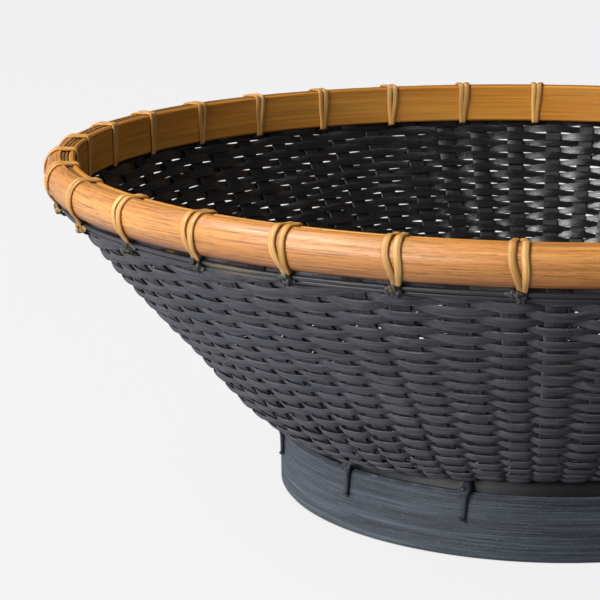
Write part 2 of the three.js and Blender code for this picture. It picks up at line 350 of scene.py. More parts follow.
class Shader:
    """A Principled material and short calls to wire its nodes."""

    def __init__(self, name, **constants):
        self.material = bpy.data.materials.new(name)
        self.material.use_nodes = True
        self.tree = self.material.node_tree
        self.principled = self.tree.nodes["Principled BSDF"]
        for key, value in constants.items():
            self.principled.inputs[key.replace("_", " ")].default_value = value

    def node(self, kind, inputs=None, **settings):
        made = self.tree.nodes.new(kind)
        for key, value in settings.items():
            setattr(made, key, value)
        for key, value in (inputs or {}).items():
            if isinstance(value, bpy.types.NodeSocket):
                self.tree.links.new(value, made.inputs[key])
            else:
                made.inputs[key].default_value = value
        return made

    def attribute(self, name, output="Fac"):
        return self.node("ShaderNodeAttribute", attribute_name=name).outputs[output]

    def grain(self, along, across, seed=0.0):
        """Grain coordinates scaled to cells per millimetre along and across the fibres."""
        inputs = {"Vector": self.attribute("grain", "Vector"), "Scale": (along, across, 1)}
        inputs["Location"] = (seed, seed * 1.7, seed)
        return self.node("ShaderNodeMapping", inputs).outputs["Vector"]

    def off_middle(self):
        """Millimetres across the piece, from its middle line."""
        grain = self.attribute("grain", "Vector")
        return self.node("ShaderNodeSeparateXYZ", {0: grain}).outputs["Y"]

    def noise(self, vector, scale=1.0, detail=3.0, roughness=0.55, w=None):
        kind = {"noise_dimensions": "4D"} if w is not None else {}
        inputs = {"Vector": vector, "Scale": scale, "Detail": detail, "Roughness": roughness}
        if w is not None:
            inputs["W"] = w
        return self.node("ShaderNodeTexNoise", inputs, **kind).outputs["Fac"]

    def ramp(self, value, stops):
        """stops are (position, colour or grey)."""
        made = self.node("ShaderNodeValToRGB", {"Fac": value})
        band = made.color_ramp
        while len(band.elements) < len(stops):
            band.elements.new(0.5)
        for element, (position, colour) in zip(band.elements, stops):
            element.position = position
            if isinstance(colour, (int, float)):
                colour = (colour, colour, colour)
            element.color = (*colour, 1)
        return made.outputs["Color"]

    def maths(self, operation, a, b=0.0):
        return self.node("ShaderNodeMath", {0: a, 1: b}, operation=operation).outputs[0]

    def remap(self, value, low, high, to_low=0.0, to_high=1.0):
        inputs = {"Value": value, "From Min": low, "From Max": high}
        inputs |= {"To Min": to_low, "To Max": to_high}
        return self.node("ShaderNodeMapRange", inputs).outputs["Result"]

    def mix(self, factor, a, b, blend="MIX"):
        a, b = [(*colour, 1) if isinstance(colour, tuple) else colour for colour in (a, b)]
        inputs = {0: factor, 6: a, 7: b}
        return self.node("ShaderNodeMix", inputs, data_type="RGBA", blend_type=blend).outputs[2]

    def times(self, a, b):
        return self.mix(1.0, a, b, "MULTIPLY")

    def fibrous(self, broad, shades, fibres, lines):
        """Two noises and the colour they give: broad shades, and lines along the fibres.

        broad and fibres are cells along and across, seed, detail and roughness."""
        broad = self.noise(self.grain(*broad[:3]), 1.0, *broad[3:])
        fibres = self.noise(self.grain(*fibres[:3]), 1.0, *fibres[3:])
        return broad, fibres, self.times(self.ramp(broad, shades), self.ramp(fibres, lines))

    def finish(self, colour, roughness, height, depth):
        """Wires colour, roughness and a bump whose full height is depth millimetres."""
        self.tree.links.new(colour, self.principled.inputs["Base Color"])
        self.tree.links.new(roughness, self.principled.inputs["Roughness"])
        inputs = {"Height": height, "Strength": 1.0, "Distance": depth * MM}
        bump = self.node("ShaderNodeBump", inputs)
        self.tree.links.new(bump.outputs["Normal"], self.principled.inputs["Normal"])
        return self.material


def painted_splint(name, outside, inside, across, contrast, seed, rough_within, worn_from, shine):
    """Dyed splint, striated along the fibres: lighter outside, and near-black inside, where
    painted shade of the bowl's hollow deepens the dark dye.

    across is striations per millimetre and contrast is how dark they are, 0 to 1. The paint is
    worn lighter outside from worn_from millimetres off the splint's middle. shine is the
    specular level, and rough_within the highest and lowest roughness inside the bowl.
    """
    s = Shader(name, Specular_IOR_Level=shine)
    tone = s.attribute("tone")
    own = s.maths("MULTIPLY", tone, 37.0)
    broad = s.noise(s.grain(0.03, across, seed), 1.0, 4.0, 0.72, w=own)
    fine = s.noise(s.grain(0.09, 3.4 * across, seed + 5), 1.0, 3.0, 0.7, w=own)
    fibres = s.maths("ADD", s.maths("MULTIPLY", broad, 0.6), s.maths("MULTIPLY", fine, 0.4))
    cloud = s.noise(s.grain(0.05, 0.2, seed + 3), 1.0, 2.0, 0.5, w=own)
    place = s.noise(s.node("ShaderNodeTexCoord").outputs["Object"], 16.0, 2.0, 0.5)
    outer = s.mix(s.remap(place, 0.38, 0.62), outside[0], outside[1])
    outer = s.mix(s.remap(cloud, 0.35, 0.68, 0.0, 0.5), outer, outside[2])
    off_middle = s.maths("ABSOLUTE", s.off_middle())
    rubbed = s.noise(s.grain(0.12, 0.3, seed + 7), 1.0, 3.0, 0.6, w=own)
    worn = s.maths("MULTIPLY", s.remap(off_middle, worn_from, worn_from + 0.4),
                   s.remap(rubbed, 0.42, 0.62, 0.0, 0.75))
    outer = s.mix(worn, outer, WORN_PAINT)
    # Faces that look into the bowl take the near-black colour: dye deepened by painted shade of
    # the bowl's hollow.
    side = s.remap(s.attribute("outside"), -0.3, 0.3)
    colour = s.mix(side, inside, outer)
    lines = s.ramp(fibres, [(0.4, 1 - contrast), (0.5, 0.96), (0.61, 1 + 0.75 * contrast)])
    colour = s.times(colour, lines)
    rough_outside = s.remap(fibres, 0.3, 0.7, 0.56, 0.4)
    rough_inside = s.remap(cloud, 0.3, 0.7, *rough_within)
    roughness = s.node(
        "ShaderNodeMix", {0: side, 2: rough_inside, 3: rough_outside}, data_type="FLOAT"
    ).outputs[0]
    return s.finish(colour, roughness, fibres, 0.22)


def make_materials():
    outside = ((0.046, 0.040, 0.048), (0.035, 0.037, 0.048), (0.074, 0.066, 0.069))
    # The stakes' outside colours are about half as light as the weavers': painted shadow where the
    # weavers lie over the stakes.
    stake_outside_shadowed = ((0.021, 0.018, 0.022), (0.017, 0.018, 0.023), (0.04, 0.036, 0.038))
    # Near-black inside colour: partly the dye, partly painted shade of the bowl's hollow.
    inside_dye_and_shade = (0.0095, 0.0085, 0.0085)
    glossy, dull = (0.27, 0.16), (0.5, 0.4)
    return {
        "weaver": painted_splint("dyed_weaver", outside, inside_dye_and_shade, 1.3, 0.75, 1.0, glossy, 1.3, 0.6),
        "stake": painted_splint("dyed_stake", stake_outside_shadowed, inside_dye_and_shade, 1.1, 0.85, 9.0, dull, 3.2, 0.38),
        "hoop": painted_cane(),
        "foot": foot_material("painted_foot", 1.0),
        # The inner foot band is the same splint made far darker: painted shade under the
        # overhanging body.
        "foot_inside_shaded": foot_material("painted_foot_inside", 0.13),
        "stitch": stitch_material(),
        "pole": pole_material(),
        "band": band_material(),
        "filler": filler_material(),
        "cane": cane_material(),
    }


def painted_cane():
    s = Shader("painted_cane", Specular_IOR_Level=0.5)
    patch, fibres, colour = s.fibrous(
        (0.03, 0.2, 2.0, 3.0),
        [(0.35, (0.022, 0.021, 0.024)), (0.58, (0.045, 0.043, 0.047)), (0.68, (0.13, 0.10, 0.05))],
        (0.04, 1.6, 5.0, 4.0),
        [(0.3, 0.5), (0.6, 1.1)],
    )
    return s.finish(colour, s.remap(patch, 0.3, 0.7, 0.5, 0.28), fibres, 0.12)


def stitch_material():
    s = Shader("painted_stitch", Specular_IOR_Level=0.4)
    fibres = s.noise(s.grain(0.15, 1.6, 2.0), 1.0, 4.0)
    colour = s.ramp(fibres, [(0.3, (0.012, 0.013, 0.019)), (0.6, (0.035, 0.038, 0.052)),
                             (0.75, (0.06, 0.062, 0.078))])
    return s.finish(colour, s.remap(fibres, 0.3, 0.7, 0.6, 0.42), fibres, 0.2)


def foot_material(name, shade):
    """Bent splint under blue-black paint. shade scales how light it is; at 0.13 it gives the inner
    band's copy, darkened as painted shade under the overhanging body.
    """
    s = Shader(name, Specular_IOR_Level=0.4)
    streaks, fine, colour = s.fibrous(
        (0.009, 0.7, 3.0, 6.0, 0.68),
        [(0.32, (0.022, 0.025, 0.032)), (0.5, (0.046, 0.057, 0.067)),
         (0.72, (0.073, 0.094, 0.107))],
        (0.035, 3.2, 8.0, 4.0, 0.7),
        [(0.36, 0.3), (0.5, 0.95), (0.64, 1.7)],
    )
    specks = s.noise(s.grain(1.1, 2.6, 5.0), 1.0, 2.0, 0.6)
    light = s.maths("MULTIPLY", s.remap(specks, 0.6, 0.7), 0.55)
    colour = s.mix(light, colour, (0.13, 0.15, 0.16))
    colour = s.times(colour, (shade, 0.97 * shade, shade))
    height = s.maths("ADD", s.maths("MULTIPLY", streaks, 0.7), s.maths("MULTIPLY", fine, 0.3))
    return s.finish(colour, s.remap(streaks, 0.3, 0.7, 0.52, 0.4), height, 0.16)


def pole_material():
    s = Shader("rim_bamboo", Specular_IOR_Level=0.5, Coat_Weight=0.15, Coat_Roughness=0.25)
    _, fibres, colour = s.fibrous(
        (0.006, 0.17, 4.0, 3.0, 0.5),
        [(0.3, (0.35, 0.118, 0.022)), (0.5, (0.49, 0.2, 0.045)), (0.72, (0.58, 0.275, 0.07))],
        (0.03, 1.7, 1.0, 5.0, 0.74),
        [(0.36, 0.42), (0.48, 1.0), (0.68, 1.3)],
    )
    pores = s.noise(s.grain(0.22, 3.4, 6.0), 1.0, 2.0, 0.5)
    fleck = s.ramp(pores, [(0.34, 1.0), (0.41, 0.0)])
    colour = s.mix(s.maths("MULTIPLY", fleck, 0.5), colour, (0.19, 0.07, 0.018))
    # Darker and redder towards the lower edge: partly reddish streaks in the bamboo, partly
    # painted shade on the pole's underside.
    low_down = s.remap(s.off_middle(), -2.0, -7.0)
    red_streaks_and_shade = s.maths("MULTIPLY", low_down, s.remap(fibres, 0.6, 0.42, 0.2, 1.0))
    colour = s.mix(red_streaks_and_shade, colour, (0.34, 0.10, 0.02))
    height = s.maths("SUBTRACT", fibres, s.maths("MULTIPLY", fleck, 0.4))
    return s.finish(colour, s.remap(fibres, 0.3, 0.7, 0.44, 0.32), height, 0.12)


def band_material():
    s = Shader("rim_band_bamboo", Specular_IOR_Level=0.3)
    _, fibres, colour = s.fibrous(
        (0.008, 0.09, 2.0, 3.0, 0.5),
        [(0.3, (0.42, 0.15, 0.017)), (0.5, (0.55, 0.225, 0.028)), (0.72, (0.64, 0.29, 0.046))],
        (0.015, 1.3, 7.0, 4.0, 0.6),
        [(0.32, 0.68), (0.62, 1.08)],
    )
    return s.finish(colour, s.remap(fibres, 0.3, 0.7, 0.5, 0.4), fibres, 0.06)


def filler_material():
    s = Shader("rim_filler_cane", Specular_IOR_Level=0.3)
    _, fibres, colour = s.fibrous(
        (0.02, 0.3, 2.0, 3.0, 0.5),
        [(0.3, (0.2, 0.085, 0.024)), (0.6, (0.38, 0.18, 0.05)), (0.75, (0.46, 0.25, 0.09))],
        (0.03, 2.6, 4.0, 4.0, 0.6),
        [(0.3, 0.6), (0.65, 1.1)],
    )
    return s.finish(colour, s.remap(fibres, 0.3, 0.7, 0.65, 0.5), fibres, 0.12)


def cane_material():
    """Peeled cane, overpainted with the body's dye where the lashing enters the weave."""
    s = Shader("lashing_cane", Specular_IOR_Level=0.45, Coat_Weight=0.08, Coat_Roughness=0.3)
    tone = s.attribute("tone")
    fibres = s.noise(s.grain(0.04, 1.8, 1.0), 1.0, 4.0, 0.6, w=s.maths("MULTIPLY", tone, 23.0))
    broad = s.noise(s.grain(0.03, 0.25, 5.0), 1.0, 2.0, 0.5, w=s.maths("MULTIPLY", tone, 31.0))
    colour = s.ramp(broad, [(0.3, (0.45, 0.205, 0.04)), (0.55, (0.61, 0.315, 0.08)),
                            (0.75, (0.75, 0.45, 0.155))])
    colour = s.times(colour, s.ramp(fibres, [(0.36, 0.6), (0.6, 1.12)]))
    # Darker along both edges of the cane: painted shade where the strand meets what it lies on.
    edge_shade = s.remap(s.maths("ABSOLUTE", s.off_middle()), 1.0, 1.45, 0.0, 0.6)
    colour = s.mix(edge_shade, colour, (0.22, 0.075, 0.015))
    paint = s.attribute("paint")
    edge = s.noise(s.grain(0.5, 0.5, 3.0), 1.0, 3.0, 0.6, w=s.maths("MULTIPLY", tone, 17.0))
    mask = s.remap(s.maths("ADD", paint, s.maths("MULTIPLY", edge, 0.9)), 0.86, 1.0)
    dye = s.ramp(edge, [(0.42, (0.014, 0.014, 0.017)), (0.58, (0.04, 0.037, 0.03)),
                        (0.68, (0.17, 0.13, 0.06))])
    colour = s.mix(mask, colour, dye)
    return s.finish(colour, s.remap(fibres, 0.3, 0.7, 0.52, 0.38), fibres, 0.14)


# ------------------------------ stakes
def stake_plan(i):
    """One half of a stake in plan, for the side that faces +X: from the base's middle to the wall.

    Returns points out to where the stake has become radial, and its angle there.
    """
    middle = (STAKES_PER_SIDE - 1) / 2
    angle = (i - middle) * 2 * math.pi / STAKES
    y = (i - middle) * BASE_PITCH
    steps = 40
    start = np.array([STAKE_STRAIGHT, y])
    radial = np.array([math.cos(angle), math.sin(angle)])
    reach = 0.8 * (STAKE_TURNED - STAKE_STRAIGHT)
    t = np.linspace(0, 1, steps)[:, None]
    curve = (
        (2 * t**3 - 3 * t**2 + 1) * start
        + (t**3 - 2 * t**2 + t) * reach * np.array([1.0, 0.0])
        + (3 * t**2 - 2 * t**3) * STAKE_TURNED * radial
        + (t**3 - t**2) * reach * radial
    )
    run = np.linspace(0, STAKE_STRAIGHT, steps, endpoint=False)
    return np.vstack([np.stack([run, np.full(steps, y)], 1), curve]), angle


stake_jitter = rng.normal(0, math.radians(0.38), STAKES)
stake_width = 1 + rng.normal(0, 0.045, STAKES)


def stake_half(side, i):
    """Surface positions of a half stake: (n, 3) points on the body's middle, and arc length s."""
    plan, angle = stake_plan(i)
    number = side * STAKES_PER_SIDE + i
    turn = side * 0.5 * math.pi
    radius = np.hypot(plan[:, 0], plan[:, 1])
    flat_s = profile.at_radius(radius)
    flat_angle = np.arctan2(plan[:, 1], plan[:, 0])
    up_s = np.arange(flat_s[-1] + STAKE_STEP, profile.length[-1], STAKE_STEP)
    s = np.concatenate([flat_s, up_s])
    theta = np.concatenate([flat_angle, np.full(len(up_s), angle)])
    crowding = math.radians(1.3) * math.cos(angle + turn - FRONT) - math.radians(0.3)
    theta = theta + turn + (stake_jitter[number] + crowding) * smoothstep(90, 120, s)
    r, z = profile.at(s)
    r = np.concatenate([radius, r[len(radius):]])
    return np.stack([r * np.cos(theta), r * np.sin(theta), z], 1), s


def on_body(theta, s):
    """Points on the middle of the body's thickness, and its directions outwards and upwards.

    On the base outwards is down and upwards is away from the middle."""
    r, z = profile.at(s)
    tr, tz = profile.along(s)
    c, sn = np.cos(theta), np.sin(theta)
    points = np.stack([r * c, r * sn, z + 0 * c], 1)
    outward = np.stack([tz * c, tz * sn, 0 * c - tr], 1)
    upward = np.stack([tr * c, tr * sn, tz + 0 * c], 1)
    return points, outward, upward


def resample(points, s, step):
    length = np.concatenate([[0], np.cumsum(np.linalg.norm(np.diff(points, axis=0), axis=1))])
    at = np.linspace(0, length[-1], int(length[-1] / step))
    even = np.stack([np.interp(at, length, points[:, a]) for a in range(3)], 1)
    return even, np.interp(at, length, s)


def base_swing(crossing):
    """How far a splint stands off the base's middle. crossing runs from -1 to 1 and back."""
    return STAKE_SWING * np.clip(1.6 * crossing, -1, 1)


stake_halves = {
    (side, i): stake_half(side, i) for side in range(4) for i in range(STAKES_PER_SIDE)
}


def stake_angles(radius):
    """The angle of every stake where it crosses this radius, in order round the basket."""
    found = []
    for points, _ in stake_halves.values():
        r = np.hypot(points[:, 0], points[:, 1])
        theta = np.unwrap(np.arctan2(points[:, 1], points[:, 0]))
        beyond = r > 60
        found.append(np.interp(radius, r[beyond], theta[beyond]))
    return np.unwrap(np.array(found))


def splint_mesh(centre, outward, width):
    extra = {"tone": np.full(len(centre), rng.random()), "outside": np.zeros(len(centre))}
    return strip_mesh(centre, outward, width / 2, STAKE_THICKNESS / 2, FLAT_SECTION, extra)


def make_stakes(material):
    """Each stake runs up one side, across the base and up the other side."""
    for axis, name in ((0, "stakes_across"), (1, "stakes_along")):
        parts = []
        for i in range(STAKES_PER_SIDE):
            near = stake_halves[axis, i]
            far = stake_halves[axis + 2, STAKES_PER_SIDE - 1 - i]
            points = np.vstack([far[0][::-1], near[0][1:]])
            s = np.concatenate([-far[1][::-1], near[1][1:]])
            points, s = resample(points, s, STAKE_STEP)
            _, outward, _ = on_body(np.arctan2(points[:, 1], points[:, 0]), np.abs(s))
            run = points @ np.array([1.0, 0, 0] if axis == 0 else [0, 1.0, 0])
            on_base = 1 - smoothstep(11.3, 12.6, np.abs(run) / BASE_PITCH)
            crossing = np.cos(math.pi * (run / BASE_PITCH + i + axis))
            swing = base_swing(crossing) * on_base
            centre = sag(points + outward * swing[:, None])
            widen = smoothstep(110, 240, np.abs(s))
            number = axis * STAKES_PER_SIDE + i
            width = STAKE_FOOT_WIDTH + (STAKE_WIDTH - STAKE_FOOT_WIDTH) * widen
            width += (STAKE_BASE_WIDTH - STAKE_FOOT_WIDTH) * (1 - smoothstep(80, 112, np.abs(s)))
            width = width * stake_width[number] * (1 + 0.03 * np.sin(0.06 * s + number))
            parts.append(splint_mesh(centre, outward, width))
        piece = build(name, parts, material)
        mark_outside(piece)
        place(piece, "weave", *(["woven_base"] if axis == 0 else []))


def make_base_fillers(material):
    """Short strips woven across the stakes between the square middle of the base and the wall."""
    parts = []
    for side in range(4):
        turn = side * 0.5 * math.pi
        for place_out in (9, 10, 11):
            distance = place_out * BASE_PITCH
            half = math.sqrt(FIRST_ROW_RADIUS**2 - distance**2) - 1.5
            aside = np.linspace(-half, half, int(2 * half / STAKE_STEP))
            first, last = [
                np.interp(distance, plan[:, 0], plan[:, 1])
                for plan, _ in map(stake_plan, (0, STAKES_PER_SIDE - 1))
            ]
            index = (aside - first) / ((last - first) / (STAKES_PER_SIDE - 1))
            crossing = np.cos(math.pi * (index + place_out + side))
            swing = -base_swing(crossing)
            _, z = profile.at(profile.at_radius(np.hypot(distance, aside)))
            x = distance * math.cos(turn) - aside * math.sin(turn)
            y = distance * math.sin(turn) + aside * math.cos(turn)
            down = np.array([0.0, 0.0, -1.0])
            centre = np.stack([x, y, z], 1) + down * swing[:, None]
            parts.append(splint_mesh(centre, down, STAKE_BASE_WIDTH))
    piece = build("base_fillers", parts, material)
    mark_outside(piece)
    place(piece, "weave")


def mark_outside(piece):
    """Fills the corner attribute outside: 1 where a face looks out of the bowl, -1 inside."""
    mesh = piece.data
    count = len(mesh.polygons)
    centre = np.zeros(count * 3)
    normal = np.zeros(count * 3)
    totals = np.zeros(count, np.int32)
    mesh.polygons.foreach_get("center", centre)
    mesh.polygons.foreach_get("normal", normal)
    mesh.polygons.foreach_get("loop_total", totals)
    centre, normal = centre.reshape(-1, 3), normal.reshape(-1, 3)
    radial = unit(centre * np.array([1, 1, 0]))
    facing = (normal * radial).sum(1) - normal[:, 2]
    values = np.repeat(np.sign(facing), totals).astype(np.float32)
    mesh.attributes["outside"].data.foreach_set("value", values)


# ------------------------------ weavers
def row_lengths():
    """Arc length of each row of weaving, from the foot to under the rim."""
    first = float(profile.at_radius(FIRST_ROW_RADIUS))
    last = profile.at_height(band_low[2] + LAST_ROW_IN_RIM)
    rows = [last]
    while rows[-1] > first:
        higher = smoothstep(last - 32, last - 10, rows[-1])
        rows.append(rows[-1] - ROW_PITCH - (TOP_ROW_PITCH - ROW_PITCH) * higher)
    return rows[::-1]


def drift(theta, s):
    """Slow unevenness shared by neighbouring rows, in millimetres up the wall."""
    low = 1 - smoothstep(118, 160, s)
    return (
        0.45 * np.sin(2 * theta + 0.9)
        + 0.3 * np.sin(5 * theta + 2.1 + 0.02 * s)
        + 0.22 * np.sin(9 * theta + 0.4 + 0.05 * s)
        + low * (0.5 * np.sin(3 * theta + 1.2) + 0.3 * np.sin(7 * theta))
    )


def make_weaver(row, s_row, spacing, material):
    radius, _ = profile.at(s_row)
    angles = stake_angles(float(radius))
    begins = (29 * row + 40) % STAKES
    angles = np.append(angles[begins:], angles[:begins] + 2 * math.pi)
    steps = STAKES * WEAVER_STEPS_PER_STAKE
    theta = angles[0] + np.linspace(0, 2 * math.pi, steps, endpoint=False)
    index = np.interp(theta, np.append(angles, angles[0] + 2 * math.pi), np.arange(STAKES + 1))
    phase = math.pi * (index + begins + row)
    # The more of the pitch the stakes take up, the flatter a splint lies on them.
    share = STAKE_WIDTH * STAKES / (2 * math.pi * radius)
    sharp = 0.9 + 1.5 * smoothstep(0.42, 0.75, share)
    wave = np.tanh(sharp * np.cos(phase)) / math.tanh(sharp)
    lens = np.abs(np.cos(phase)) ** 1.4

    def per_stake(spread):
        """A random value at each stake, running smoothly between them."""
        values = rng.normal(0, spread, STAKES)
        t = index % 1
        t = t * t * (3 - 2 * t)
        low = index.astype(int) % STAKES
        return values[low] * (1 - t) + values[(low + 1) % STAKES] * t

    s = s_row + drift(theta, s_row) + per_stake(HEIGHT_SCATTER)
    points, outward, upward = on_body(theta, s)
    swing = wave * (WEAVER_SWING + np.abs(per_stake(SWING_SCATTER)))
    centre = points + outward * swing[:, None]
    tilt = (WEAVER_TILT + per_stake(TILT_SCATTER))[:, None]
    face = outward * np.cos(tilt) + upward * np.sin(tilt)
    across = upward * np.cos(tilt) - outward * np.sin(tilt)
    width = WEAVER_CROSSING_WIDTH + (WEAVER_WIDTH - WEAVER_CROSSING_WIDTH) * lens
    width = width * spacing
    width = width * (1 + per_stake(WIDTH_SCATTER)) * (1 + rng.normal(0, ROW_WIDTH_SCATTER))
    tone = rng.random() + per_stake(0.05)
    extra = {"tone": tone, "outside": np.zeros(len(theta))}
    part = tube_mesh(
        sag(centre), across, face, width / 2, WEAVER_THICKNESS / 2, WEAVER_SECTION, True, extra
    )
    piece = build(f"weaver_{row + 1:02d}", [part], material)
    mark_outside(piece)
    return piece


def make_weavers(material):
    rows = row_lengths()
    for row, (s_row, spacing) in enumerate(zip(rows, np.gradient(rows))):
        piece = make_weaver(row, s_row, spacing, material)
        place(piece, "weave", *(["woven_wall"] if row == 0 else []))


# ------------------------------ hoops, rim and foot
def node_angle(node):
    """The direction in which a node lies, from its box's corner and middle."""
    low, high = box_mm(node)
    return math.atan2(low[1] + high[1], low[0] + high[0])


RIM_SEAM = node_angle("rim_lashing_17")
FOOT_SEAM = node_angle("foot_stitch_06")


def front_dip(theta, depth):
    return depth * 0.5 * (1 + np.cos(theta - FRONT))


def ring_angles(start):
    return start + np.linspace(0, 2 * math.pi, RING_STEPS, endpoint=False)


def circle(radius, z, start, wobble=0.0, rise=0.0, seed=0.0, dip=0.0):
    """Centre, across and outward of a level ring, with a slow hand-made unevenness.

    The hoop's two ends meet at the angle start. It lies lower by dip at the front."""
    theta = ring_angles(start)
    r = radius + wobble * (
        np.sin(3 * theta + seed) + 0.6 * np.sin(7 * theta + 2 * seed) + 0.4 * np.sin(13 * theta)
    )
    height = z + rise * (np.sin(2 * theta + seed) + 0.7 * np.sin(5 * theta + 3 * seed))
    height = height - front_dip(theta, dip)
    c, s = np.cos(theta), np.sin(theta)
    centre = np.stack([r * c, r * s, height], 1)
    outward = np.stack([c, s, 0 * c], 1)
    up = np.tile([0.0, 0.0, 1.0], (RING_STEPS, 1))
    return centre, up, outward


def ring_piece(name, radius, z, half_height, half_depth, section, material, start, **uneven):
    centre, up, outward = circle(radius, z, start, **uneven)
    part = tube_mesh(centre, up, outward, half_height, half_depth, section, True, {})
    return build(name, [part], material)


def make_border_hoops(material):
    """Two half-round canes lie on the wall, one on the other, under the rim."""
    half = 0.5 * BORDER_CANE_HEIGHT
    parts = []
    theta = ring_angles(RIM_SEAM)
    for middle, seed in ((hoop_low[2] + half, 0.3), (hoop_high[2] - half, 1.9)):
        s = profile.at_height(middle)
        centre, outward, upward = on_body(theta, s)
        centre += outward * BORDER_CANE_STAND_OFF
        centre[:, 2] += 0.8 * profile.along(s)[0] * BORDER_CANE_STAND_OFF
        centre[:, 2] += 0.14 * np.sin(2 * theta + seed) + 0.1 * np.sin(9 * theta + 3 * seed)
        thick = BORDER_CANE_THICKNESS / 2 * (1 + 0.07 * np.sin(23 * theta + seed))
        extra = {"tone": np.full(RING_STEPS, seed / 3)}
        parts.append(tube_mesh(centre, upward, outward, half, thick, ROUND_SECTION, True, extra))
    piece = build("border_hoops", parts, material, 60)
    place(piece, "painted_cane", "border_hoop")


def pole_section():
    """Half-round: flat back at -1, rounded outside at +1, with eased corners."""
    turn = np.linspace(-0.5 * math.pi, 0.5 * math.pi, 21)
    arc = np.stack([np.sin(turn), -1 + 2 * np.cos(turn)], 1)
    return np.vstack([arc, [[0.9, -1.06], [0, -1.06], [-0.9, -1.06]]])


def make_rim(materials):
    half_depth = (POLE_OUTER - POLE_BACK) / 2
    pole = ring_piece(
        "rim_pole_bamboo", POLE_BACK + half_depth, POLE_MIDDLE, POLE_HALF, half_depth,
        pole_section(), materials["pole"], RIM_SEAM, wobble=0.09, rise=0.1, seed=0.7,
    )
    place(pole, "rim_pole", "rim_pole")
    band = ring_piece(
        "rim_band_bamboo", BAND_OUTER - BAND_THICKNESS / 2, 0.5 * (band_low[2] + band_high[2]),
        0.5 * (band_high[2] - band_low[2]), BAND_THICKNESS / 2.25, FLAT_SECTION,
        materials["band"], RIM_SEAM, wobble=0.08, rise=0.06, seed=1.3, dip=FRONT_DIP,
    )
    place(band, "rim_band", "rim_band")
    for node, seed in (("rim_filler_inner", 0.5), ("rim_filler_outer", 2.2)):
        low, high = box_mm(node)
        radius = high[0] - 0.6
        filler = ring_piece(
            node + "_cane", radius, 0.5 * (low[2] + high[2]), 0.5 * (high[2] - low[2]),
            FILLER_HALF_THICKNESS, FLAT_SECTION, materials["filler"], RIM_SEAM, wobble=0.05,
            rise=0.22, seed=seed, dip=2 * FRONT_DIP,
        )
        place(filler, "rim_filler", node)


def make_foot(materials):
    for node, high, material in (
        ("foot_outer_band", outer_foot_high, materials["foot"]),
        ("foot_inner_band", inner_foot_high, materials["foot_inside_shaded"]),
    ):
        half = FOOT_BAND_HALF_THICKNESS
        band = ring_piece(
            node + "_splint", high[0] - half - 0.05, 0.5 * high[2], 0.5 * high[2], half,
            FLAT_SECTION, material, FOOT_SEAM, wobble=0.06, seed=high[2],
        )
        place(band, "foot", node)


# ------------------------------ lashings and stitches
def lashing_path(dip):
    """One turn of cane round the rim in (radius, height): out under the border hoops, over them,
    round the pole, across the rim and down inside the band. Also where it is painted, 0 to 1."""
    half = POLE_HALF + LASHING_LIFT
    depth = POLE_OUTER - POLE_BACK + LASHING_LIFT
    inner = BAND_OUTER - BAND_THICKNESS - LASHING_LIFT
    low = hoop_low[2] - LASHING_LIFT - 0.2
    turn = np.linspace(-0.3 * math.pi, 0.42 * math.pi, 7)
    pole = np.stack([POLE_BACK + depth * np.cos(turn), POLE_MIDDLE + half * np.sin(turn)], 1)
    points = [
        [HOOP_OUTER - 6.0, low + 1.6], [HOOP_OUTER - 2.6, low + 0.3],
        [HOOP_OUTER - 0.6, low + 0.4], [HOOP_OUTER + 0.7, low + 2.2],
        [HOOP_OUTER + 1.2, hoop_high[2] - 0.4], *pole,
        [BAND_OUTER + 0.6, RIM_TOP + LASHING_LIFT - dip], [inner + 0.7, RIM_TOP + 0.4 - dip],
        [inner, RIM_TOP - 2.2], [inner, 130.0], [inner + 0.1, band_low[2] + 1.0],
        [inner + 0.6, band_low[2] - 0.8],
    ]
    path = catmull(np.vstack([points, points[:1]]), 6)[:-1]
    paint_line = np.where(path[:, 0] < BAND_OUTER, band_low[2] - 0.6, pole_low[2] - 0.9)
    paint = 1 - smoothstep(-0.6, 0.6, path[:, 1] - paint_line)
    return path, paint


def along_loop(points):
    return np.roll(points, -1, 0) - np.roll(points, 1, 0)


def axes_at(angle):
    """The directions outwards, sideways and up at an angle round the basket."""
    c, s = math.cos(angle), math.sin(angle)
    return np.array([c, s, 0.0]), np.array([-s, c, 0.0]), np.array([0.0, 0.0, 1.0])


def make_lashing(i, material):
    """Two turns of cane that leave the knot together and splay out over the pole."""
    node = f"rim_lashing_{i + 1:02d}"
    angle = node_angle(node)
    radial, tangent, up = axes_at(angle)
    path, paint = lashing_path(front_dip(angle, FRONT_DIP))
    radius, height = path.T
    gradient = along_loop(path)
    normal = unit(np.stack([gradient[:, 1], -gradient[:, 0]], 1))
    inside = 1 - smoothstep(BAND_OUTER - 2, BAND_OUTER + 3, radius)
    splay = smoothstep(hoop_low[2] - 2, RIM_TOP - 2, height)
    opening = smoothstep(hoop_high[2] - 1, RIM_TOP - 5, height)
    bow = (0.9 + 0.4 * rng.normal()) * np.sin(math.pi * splay) * (1 - inside)
    lean = rng.normal(0, 0.4)
    parts = []
    for side in (-1, 1):
        outer_spread = LASHING_SPREAD + 0.22 * rng.normal()
        spread = outer_spread + (LASHING_INNER_SPREAD - outer_spread) * inside
        slip = side * (KNOT_SPREAD + (spread - KNOT_SPREAD) * opening) + lean * splay + bow
        slip += 0.25 * np.sin(0.21 * height + 2 * rng.random())
        centre = path[:, :1] * radial + height[:, None] * up + slip[:, None] * tangent
        outward = normal[:, :1] * radial + normal[:, 1:] * up
        along = unit(along_loop(centre))
        across = unit(np.cross(outward, along))
        outward = np.cross(along, across)
        half_width = LASHING_WIDTH / 2 * (1 - 0.05 * inside) * (0.75 + 0.25 * splay**0.5)
        extra = {"tone": np.full(len(path), rng.random()), "paint": paint}
        thick = LASHING_THICKNESS / 2
        parts.append(
            tube_mesh(centre, across, outward, half_width, thick, CANE_SECTION, True, extra)
        )
    parts.extend(knot_parts(radial, tangent, up))
    piece = build(f"lashing_{i + 1:02d}", parts, material, 70)
    place(piece, "cane", node)


